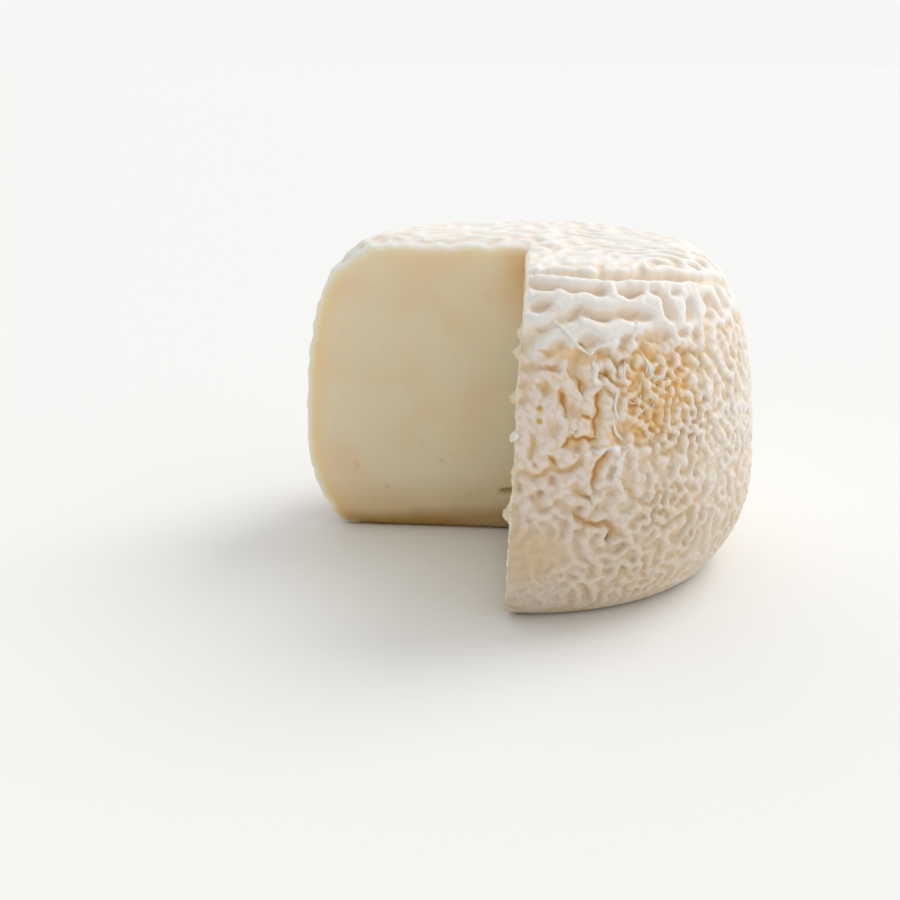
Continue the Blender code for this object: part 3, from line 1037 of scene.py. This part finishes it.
graph = Graph(rind)
place = graph.place_mm()
mottle = graph.noise(place, 3.0, 3.0)
speckle = graph.noise(place, 0.45, 3.0)
patchy = graph.noise(place, 5.0, 1.0)
fold = graph.value("fold") + 0.20 * (speckle - 0.5) + 0.30 * (mottle - 0.5) + 0.5 * (patchy - 0.5)
gold = graph.value("gold") + 0.7 * (mottle - 0.5)
# The top and shoulder are paler, partly as a whiter rind and partly as painted light from above.
pale = graph.value("pale")
valley_color = graph.blend(pale, VALLEY_BEIGE, VALLEY_PALE)
valley_color = graph.blend(graph.value("gold") * gold.smooth(0.25, 0.9), valley_color, VALLEY_GOLD)
white = graph.blend(graph.value("warm"), RIND_WHITE, RIND_WARM)
white = graph.blend(pale, white, RIND_PALE)
stained = (graph.value("stain") + 0.8 * (mottle - 0.5) + 0.9 * (speckle - 0.5)).smooth(0.15, 0.85)
color = graph.blend((fold - 0.18 * gold).smooth(0.0, 0.95), valley_color, white)
color = graph.blend(0.62 * stained, color, VALLEY_GOLD)
color = graph.blend(0.5 * graph.value("fine").smooth(0.75, 0.1) * (1.0 - 0.75 * pale), color, valley_color)
pitted = (graph.value("fold") + 0.8 * graph.value("fine") + 0.8 * mottle).smooth(1.05, 0.55)
color = graph.blend(0.55 * pitted * (1.0 - pale), color, PIT_OCHRE)
color = graph.blend(0.9 * graph.value("bald"), color, BALD_SKIN)
cracked = graph.value("crack") + 0.5 * (mottle - 0.5)
color = graph.blend(0.7 * cracked.smooth(0.0, 0.55), color, VALLEY_GOLD)
color = graph.blend(0.85 * cracked.smooth(0.5, 1.0), color, CRACK_AMBER)
color = graph.blend((graph.value("yellow") * (0.5 + 0.9 * speckle)).smooth(0.15, 0.85), color, SPOT_YELLOW)
color = graph.blend(graph.value("torn_lip").smooth(0.2, 0.9), color, RIND_PALE)
color = graph.blend(graph.value("hole").smooth(0.2, 0.9), color, HOLE_BROWN)
height_mm = graph.part(place, 2)
# Painted shade: the rind darkens towards the foot.
color = graph.blend(0.54 * height_mm.smooth(25.0, 6.0), color, FOOT_PAINTED_SHADE)
fluff = graph.add("ShaderNodeBump", {}, {
    "Strength": 0.5, "Distance": 0.00006, "Height": graph.noise(place, 0.25, 4.0) + 0.5 * speckle})
graph.finish_with({
    "Base Color": color, "Roughness": 0.62, "Normal": fluff, "Subsurface Weight": 0.35,
    "Subsurface Radius": (1.0, 0.62, 0.38), "Subsurface Scale": 0.0010, "Specular IOR Level": 0.35,
    "Sheen Weight": 0.10, "Sheen Roughness": 0.6})
print("rind's nodes:", len(graph.tree.nodes))

# %% [markdown]
# ## Finish of the paste
# The paste is pale ivory and slightly moist. The distance from the skin colours it: a white line for the
# rind, a yellow creamline under it, then ivory. Towards the base the cheese has ripened more and is
# brown-yellow, and the lower part is also painted darker there as shadow. Near the top the creamline is
# paler, partly as a painted glow of light through the rind. The top corner by the axis is amber, partly as
# painted shade, and painted shade also lies low by the right cut and along the right cut's rim.

# %% Paste material
PASTE_IVORY = (0.90, 0.81, 0.60)
PASTE_WARM = (0.90, 0.75, 0.52)
CREAMLINE = (0.93, 0.76, 0.49)
RIND_EDGE = (0.98, 0.94, 0.86)
TOP_CREAM_AND_GLOW = (0.97, 0.87, 0.70)
SIDE_SHADE = (0.74, 0.66, 0.46)
RIGHT_RIM_SHADOW = (0.64, 0.48, 0.26)
LOW_TAN_AND_SHADOW = (0.72, 0.53, 0.28)
BASE_BROWN_AND_SHADOW = (0.46, 0.27, 0.075)
CORNER_AMBER_AND_SHADE = (0.84, 0.60, 0.27)
EYE_OCHRE = (0.62, 0.42, 0.17)

graph = Graph(paste)
place = graph.place_mm()
cloud = graph.noise(place, 9.0, 2.0)
curd = graph.noise(place, 0.8, 3.0)
height_mm = graph.part(place, 2)
left_mm = 0.0 - graph.part(place, 0)
skin_mm = graph.value("from_skin") + 0.5 * (curd - 0.5)
low_mm = height_mm + 2.0 * (cloud - 0.5) + 0.05 * left_mm
near_top = height_mm.smooth(33.0, 38.0)
color = graph.blend(cloud.smooth(0.40, 0.65), PASTE_IVORY, PASTE_WARM)
color = graph.blend(0.75 * skin_mm.smooth(3.2, 0.6), color, CREAMLINE)
# Amber in the top corner by the axis: partly a riper creamline, partly painted shade.
color = graph.blend(0.65 * left_mm.smooth(4.5, 0.5) * height_mm.smooth(30.0, 36.0), color, CORNER_AMBER_AND_SHADE)
# Tan low down and brown at the base: partly riper paste, partly painted shadow.
color = graph.blend(0.6 * low_mm.smooth(9.0, 2.5), color, LOW_TAN_AND_SHADOW)
color = graph.blend(low_mm.smooth(4.2, 1.6), color, BASE_BROWN_AND_SHADOW)
color = graph.blend(graph.value("eye").smooth(0.05, 0.5), color, EYE_OCHRE)
on_right = graph.value("right_cut")
color = graph.blend(0.30 * left_mm.smooth(13.0, 2.0) * height_mm.smooth(31.0, 24.0), color, SIDE_SHADE)
# Paler cream near the top: partly the creamline, partly a painted glow of light coming through the rind.
color = graph.blend(0.85 * near_top * skin_mm.smooth(2.6, 0.6), color, TOP_CREAM_AND_GLOW)
white_edge = (skin_mm - 0.35 * near_top).smooth(1.2, 0.0) * (0.5 + 0.5 * near_top)
color = graph.blend(white_edge * (1.0 - 0.45 * on_right), color, RIND_EDGE)
# Painted shadow: a darker band just inside the rind along the right cut, as in a shaded groove.
rim_shadow = on_right * skin_mm.smooth(2.4, 1.0) * skin_mm.smooth(0.3, 0.8)
rim_shadow = rim_shadow * height_mm.smooth(21.0, 26.0) * height_mm.smooth(38.0, 34.0)
color = graph.blend(0.45 * rim_shadow, color, RIGHT_RIM_SHADOW)
curd_bump = graph.add("ShaderNodeBump", {}, {"Strength": 0.4, "Distance": 0.00005, "Height": curd})
graph.finish_with({
    "Base Color": color, "Roughness": 0.46, "Normal": curd_bump, "Subsurface Weight": 0.85,
    "Subsurface Radius": (1.0, 0.66, 0.38), "Subsurface Scale": 0.0040, "Specular IOR Level": 0.4})
print("paste's nodes:", len(graph.tree.nodes))

# %% [markdown]
# ## Threads of torn rind
# Where the rind tore, thin strips of it curl off and catch the light. Each is a curve laid just over the
# finished skin, thick in the middle and thin at its ends, and all are joined into one piece. The short
# ones inside the torn patches are scattered by chance, with a fixed seed.

# %% Threads
THREADS = [
    ([(276.6, 27.6), (278.0, 28.4), (280.0, 29.3), (282.0, 30.7), (284.0, 31.4), (285.2, 31.9)], 0.17),
    ([(292.0, 35.7), (291.0, 36.6), (290.5, 37.9), (291.0, 39.1)], 0.16),
    ([(290.0, 39.1), (290.5, 40.4), (291.5, 41.2), (292.5, 41.6)], 0.16),
    ([(299.0, 32.1), (299.5, 33.0), (300.2, 33.9)], 0.10),
    ([(285.2, 31.7), (287.5, 30.8), (290.0, 30.8), (292.6, 30.9)], 0.12),
    ([(294.3, 37.3), (295.6, 37.9), (297.4, 37.3), (297.8, 36.8)], 0.10),
    ([(296.4, 38.2), (297.0, 37.5), (296.2, 37.0)], 0.08),
    ([(294.2, 32.8), (293.2, 33.6), (293.0, 34.9), (294.0, 35.5)], 0.11),
    ([(290.8, 44.6), (289.9, 45.6), (289.5, 46.5)], 0.10),
]
SHORT_THREADS = [((301.0, 37.0), (8.0, 4.0), 17), ((118.0, 41.0), (6.0, 2.8), 7)]
skin_surface = BVHTree.FromPolygons([tuple(point) for point in get_points(cheese_mesh)],
                                    [face.vertices[:] for face in cheese_mesh.polygons])


def on_skin(bearing_deg, run_mm, lift_mm):
    """The place on the finished skin at this bearing and run, in metres, lifted a little."""
    way, down = np.array([math.radians(bearing_deg)]), np.array([run_mm])
    start = Vector(skin_point(way, down)[0] * MM)
    normal = Vector(skin_axes(way, down)[0][0])
    hit = skin_surface.ray_cast(start + 3.0 * MM * normal, -normal)[0]
    return (hit or start) + lift_mm * MM * normal


def lay_thread(curve, line, radius, lift):
    """Adds one thread to the curve, along places on the skin."""
    strand = curve.splines.new("NURBS")
    strand.points.add(len(line) - 1)
    strand.use_endpoint_u = True
    strand.order_u = 3
    for number, ((bearing_deg, run_mm), point) in enumerate(zip(line, strand.points)):
        inside = math.sin(math.pi * (number + 0.5) / len(line))
        point.co = (*on_skin(bearing_deg, run_mm, lift * (0.6 + inside)), 1.0)
        point.radius = radius * (0.35 + 0.75 * inside)


threads_curve = bpy.data.curves.new("torn_threads", "CURVE")
threads_curve.dimensions = "3D"
threads_curve.bevel_depth = MM
threads_curve.bevel_resolution = 2
threads_curve.resolution_u = 6
threads_curve.use_fill_caps = True
for line, radius in THREADS:
    lay_thread(threads_curve, line, radius, 0.10)
chance = np.random.default_rng(7)
for middle, spread, count in SHORT_THREADS:
    for _ in range(count):
        place = np.array(middle) + chance.normal(0.0, 0.5, 2) * spread
        way = chance.uniform(0.0, math.pi)
        reach = chance.uniform(0.25, 0.6) * np.array([1.9 * math.cos(way), math.sin(way)])
        bend = chance.normal(0.0, 0.35, 2)
        line = [place - reach, place - 0.3 * reach + bend, place + 0.4 * reach + bend, place + reach]
        lay_thread(threads_curve, line, chance.uniform(0.08, 0.13), 0.0)
threads_mesh = worked_out(add_object("torn_threads_curve", threads_curve))
threads_mesh.materials.clear()
threads_mesh.shade_smooth()
print("threads' faces:", len(threads_mesh.polygons))

# %% [markdown]
# ## Flakes on the right cut
# The knife left small flakes of paste standing on the right cut, just behind the rind. They are seen from
# the side, against the other cut. Each one is a ball drawn out to a soft bump, with a wide root that runs
# into the paste.

# %% Flakes
FLAKES = [
    (1.7, 34.1, 0.55, 1.5), (2.0, 31.9, 0.8, 2.0), (2.3, 27.3, 1.0, 1.8), (0.8, 23.4, 0.6, 1.4),
    (1.2, 19.2, 0.3, 1.0), (5.5, 12.6, 0.8, 2.4),
]
RIND_NUB_HEIGHT = 23.4
FLAKE_HALF_WIDTH = 0.26
chance = np.random.default_rng(19)
form = bmesh.new()
pale_tips = []
for behind, up, stands_out, tall in FLAKES:
    front = float(np.interp(up, SECTION_HEIGHT[::-1], SECTION_RADIUS[::-1]))
    start = Vector((-20.0, behind - front, up)) * MM
    root = skin_surface.ray_cast(start, Vector((1.0, 0.0, 0.0)))[0]
    slant = chance.uniform(-0.5, 0.5)
    for vertex in bmesh.ops.create_icosphere(form, subdivisions=4, radius=1.0)["verts"]:
        tip = max(0.0, -vertex.co.x)
        shift = Vector((behind, up, 0.0))
        lump = 1.0 + 0.35 * noise.noise(vertex.co * 1.6 + shift) + 0.2 * noise.noise(vertex.co * 4.5 + shift)
        widen = math.sqrt(-math.log(max(0.06, 0.98 * tip)) / max(0.04, 1.0 - tip * tip))
        if up == RIND_NUB_HEIGHT:
            widen = 1.2
        outwards = vertex.co.x * stands_out
        sideways = vertex.co.y * FLAKE_HALF_WIDTH * widen
        up_or_down = vertex.co.z * 0.38 * tall * widen + slant * tip * stands_out
        vertex.co = root + lump * MM * Vector((outwards, sideways, up_or_down))
        pale_tips.append(float(up == RIND_NUB_HEIGHT))
flakes_mesh = mesh_from(form, "paste_flakes")
flakes_mesh.shade_smooth()
keep_values(flakes_mesh, {"pale": pale_tips})
print("flakes:", len(FLAKES), "points:", len(flakes_mesh.vertices))

# %% [markdown]
# ## Finish of the threads and flakes
# Torn rind is dry and white, and so thin that light comes through it. The flakes are plain paste, and one
# of them, nearest the rind, is a nub of rind, so its colour is blended by a number that is kept on its
# points.

# %% Finish the threads and flakes
THREAD_WHITE = (0.91, 0.85, 0.77)
FLAKE_PASTE = (0.90, 0.79, 0.58)
FLAKE_RIND = (0.95, 0.88, 0.79)

thread_finish = bpy.data.materials.new("thread")
Graph(thread_finish).finish_with({
    "Base Color": THREAD_WHITE, "Roughness": 0.6, "Subsurface Weight": 0.3,
    "Subsurface Radius": (1.0, 0.7, 0.5), "Subsurface Scale": 0.0004})
flake_finish = bpy.data.materials.new("flake")
graph = Graph(flake_finish)
graph.finish_with({
    "Base Color": graph.blend(graph.value("pale"), FLAKE_PASTE, FLAKE_RIND), "Roughness": 0.5,
    "Specular IOR Level": 0.3})
pieces = (("torn_threads", threads_mesh, thread_finish), ("paste_flakes", flakes_mesh, flake_finish))
for name, mesh, finish in pieces:
    mesh.materials.append(finish)
    piece = add_object(name, mesh)
    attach(piece, "root")
    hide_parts("cheese_wheel")
print("pieces beside the body:", [name for name, _, _ in pieces])

# %% [markdown]
# ## Camera
# The camera stands where the photograph's did, a little above the cheese and 17 cm away. Its place and
# aim were found by matching the wheel's outline and the ends of its two cuts, for a lens of 50 mm. The
# aim lies a little left of the wheel's axis, so the cheese sits right of the middle of the picture.

# %% Camera
CAMERA_PLACE = Vector((0.0, -0.15898, 0.06452))
CAMERA_AIM = Vector((-0.00975, 0.0, 0.01221))
camera_data = bpy.data.cameras.new("camera")
camera_data.lens = 50.0
camera_data.sensor_width = 36.0
camera_data.clip_start = 0.005
camera_data.clip_end = 20.0
camera = add_object("camera", camera_data)
camera.location = CAMERA_PLACE
camera.rotation_euler = (CAMERA_AIM - CAMERA_PLACE).to_track_quat("-Z", "Y").to_euler()
bpy.context.scene.camera = camera
print("camera's distance from its aim, mm:", round((CAMERA_AIM - CAMERA_PLACE).length / MM))

# %% [markdown]
# ## Floor
# A plain pale surface takes the soft shadow and throws light back on the foot of the cheese. A flat disc
# is enough, wide enough for its edge to be far away in every view.

# %% Floor
FLOOR_RADIUS = 3.0
FLOOR_WHITE = (0.9, 0.9, 0.89)

form = bmesh.new()
bmesh.ops.create_circle(form, cap_ends=True, segments=64, radius=FLOOR_RADIUS)
floor_mesh = mesh_from(form, "floor")
floor = add_object("floor", floor_mesh)
floor_finish = bpy.data.materials.new("floor")
Graph(floor_finish).finish_with({"Base Color": FLOOR_WHITE, "Roughness": 0.9})
floor_mesh.materials.append(floor_finish)
print("floor's radius in m:", FLOOR_RADIUS)

# %% [markdown]
# ## Light
# The light is that of a bright room: a wide soft glow from behind and from the right, and a dimmer one
# from the front, so the two cuts lie in soft shade. Lamps would leave hard glints, so the world does
# this, with one smooth step over the direction. It is bright all round near the horizon, where the
# floor's far edge melts into it. A broad weak sun from the same side adds the shade between the folds.

# %% Light
STUDIO_BRIGHT_SIDE = Vector((0.55, 0.75, 0.35)).normalized()
STUDIO_DIM = 0.28
STUDIO_BRIGHT = 0.93
STUDIO_WHITE = (1.0, 0.998, 0.99)
KEY_STRENGTH = 1.15
KEY_WIDTH_DEG = 35.0
KEY_SIDE = Vector((0.6, 0.45, 0.8))

world = bpy.data.worlds.new("studio")
bpy.context.scene.world = world
graph = Graph(world)
direction = graph.add("ShaderNodeTexCoord", output=0)
sides = {0: direction, 1: STUDIO_BRIGHT_SIDE}
facing = graph.add("ShaderNodeVectorMath", {"operation": "DOT_PRODUCT"}, sides, 1)
strength = STUDIO_DIM + (STUDIO_BRIGHT - STUDIO_DIM) * facing.smooth(-0.8, 0.5)
upward = graph.part(direction, 2)
strength = strength + (STUDIO_BRIGHT - strength) * upward.smooth(0.12, 0.03)
background = graph.tree.nodes["Background"]
graph.feed(background.inputs["Color"], STUDIO_WHITE)
graph.feed(background.inputs["Strength"], strength)

key_data = bpy.data.lights.new("key", "SUN")
key_data.energy = KEY_STRENGTH
key_data.angle = math.radians(KEY_WIDTH_DEG)
key = add_object("key", key_data)
key.rotation_euler = (-KEY_SIDE).to_track_quat("-Z", "Y").to_euler()
bpy.context.scene.view_settings.view_transform = "Standard"
print("nodes of the world:", len(graph.tree.nodes))
